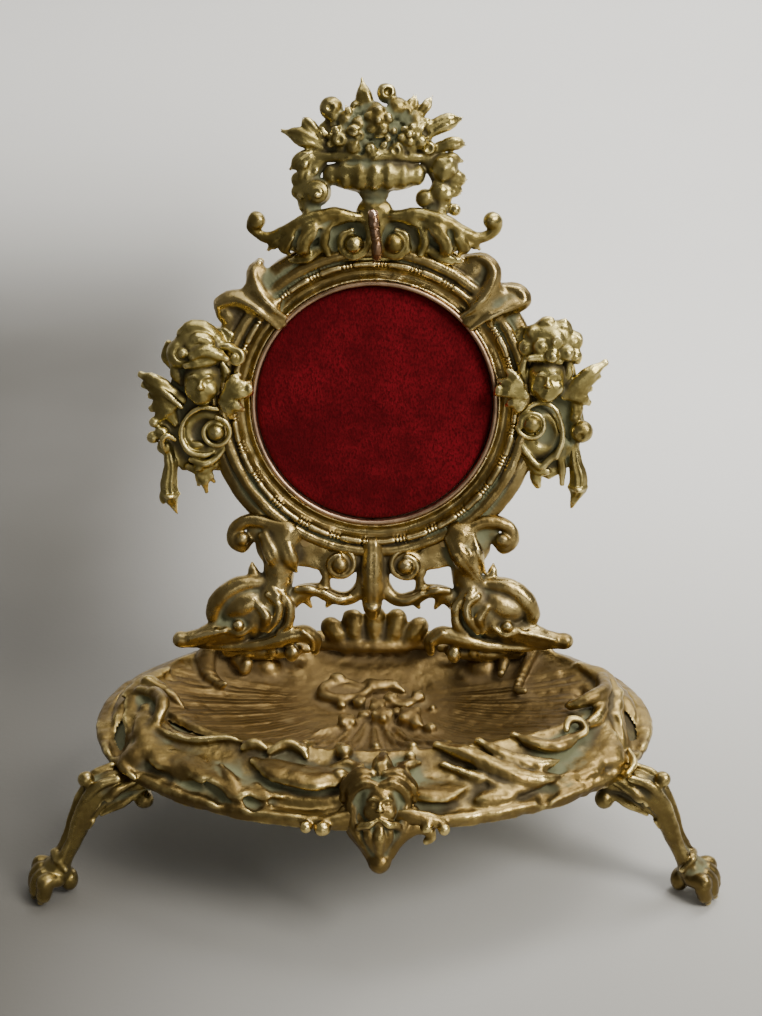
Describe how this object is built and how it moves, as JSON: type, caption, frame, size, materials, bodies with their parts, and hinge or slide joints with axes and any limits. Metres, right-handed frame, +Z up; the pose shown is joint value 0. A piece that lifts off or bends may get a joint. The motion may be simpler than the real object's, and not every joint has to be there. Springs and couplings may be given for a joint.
{
  "type": "pocket watch stand",
  "caption": "Cast brass pocket watch stand: shell dish on paw feet, dolphins and winged heads round a velvet rest, hook above.",
  "frame": {"origin": "on the surface it stands on, under the middle of the object's box", "axes": "+Z up, -Y is the front that faces the user, +X is the user's right"},
  "size_m": [0.1374, 0.089, 0.1438],
  "materials": {
    "gilt_brass": "cast, once gilt, worn bright on the ridges and dark with greenish dirt in the hollows",
    "rosy_ring": "rose-coloured, polished, a little worn",
    "copper_hook": "dull reddish copper-coloured wire",
    "plain_brass": "rolled, plain, tarnished",
    "dull_steel": "blued grey, slightly rusty",
    "red_velvet": "deep crimson pile with crushed and worn patches",
    "millboard": "plain brown board"
  },
  "bodies": {
    "stand": {"shell_tray": "gilt_brass", "leg_left": "gilt_brass", "leg_right": "gilt_brass", "leg_rear": "gilt_brass", "leg_screws": "dull_steel", "base_screws": "dull_steel", "dolphin_base": "gilt_brass", "bezel_frame": "gilt_brass", "crest": "gilt_brass", "cherub_left": "gilt_brass", "cherub_right": "gilt_brass", "ornament_pins": "plain_brass", "rim_ring": "rosy_ring", "velvet_pad": "red_velvet", "pad_board": "millboard", "back_plate": "plain_brass", "clip_screws": "dull_steel", "watch_hook": "copper_hook", "hook_washer": "plain_brass", "hook_nut": "plain_brass"},
    "clip_left": {"turn_clip_left": "plain_brass"},
    "clip_right": {"turn_clip_right": "plain_brass"},
    "clip_low": {"turn_clip_low": "plain_brass"}
  },
  "joints": [
    {"name": "clip_turn_left", "type": "hinge", "parent": "stand", "child": "clip_left", "pos_m": [-0.02633, 0.02637, 0.09688], "axis": [0, -0.9781, 0.2079], "continuous": true},
    {"name": "clip_turn_right", "type": "hinge", "parent": "stand", "child": "clip_right", "pos_m": [0.02633, 0.02637, 0.09688], "axis": [0, -0.9781, 0.2079], "continuous": true},
    {"name": "clip_turn_low", "type": "hinge", "parent": "stand", "child": "clip_low", "pos_m": [0, 0.01689, 0.05228], "axis": [0, -0.9781, 0.2079], "continuous": true}
  ]
}
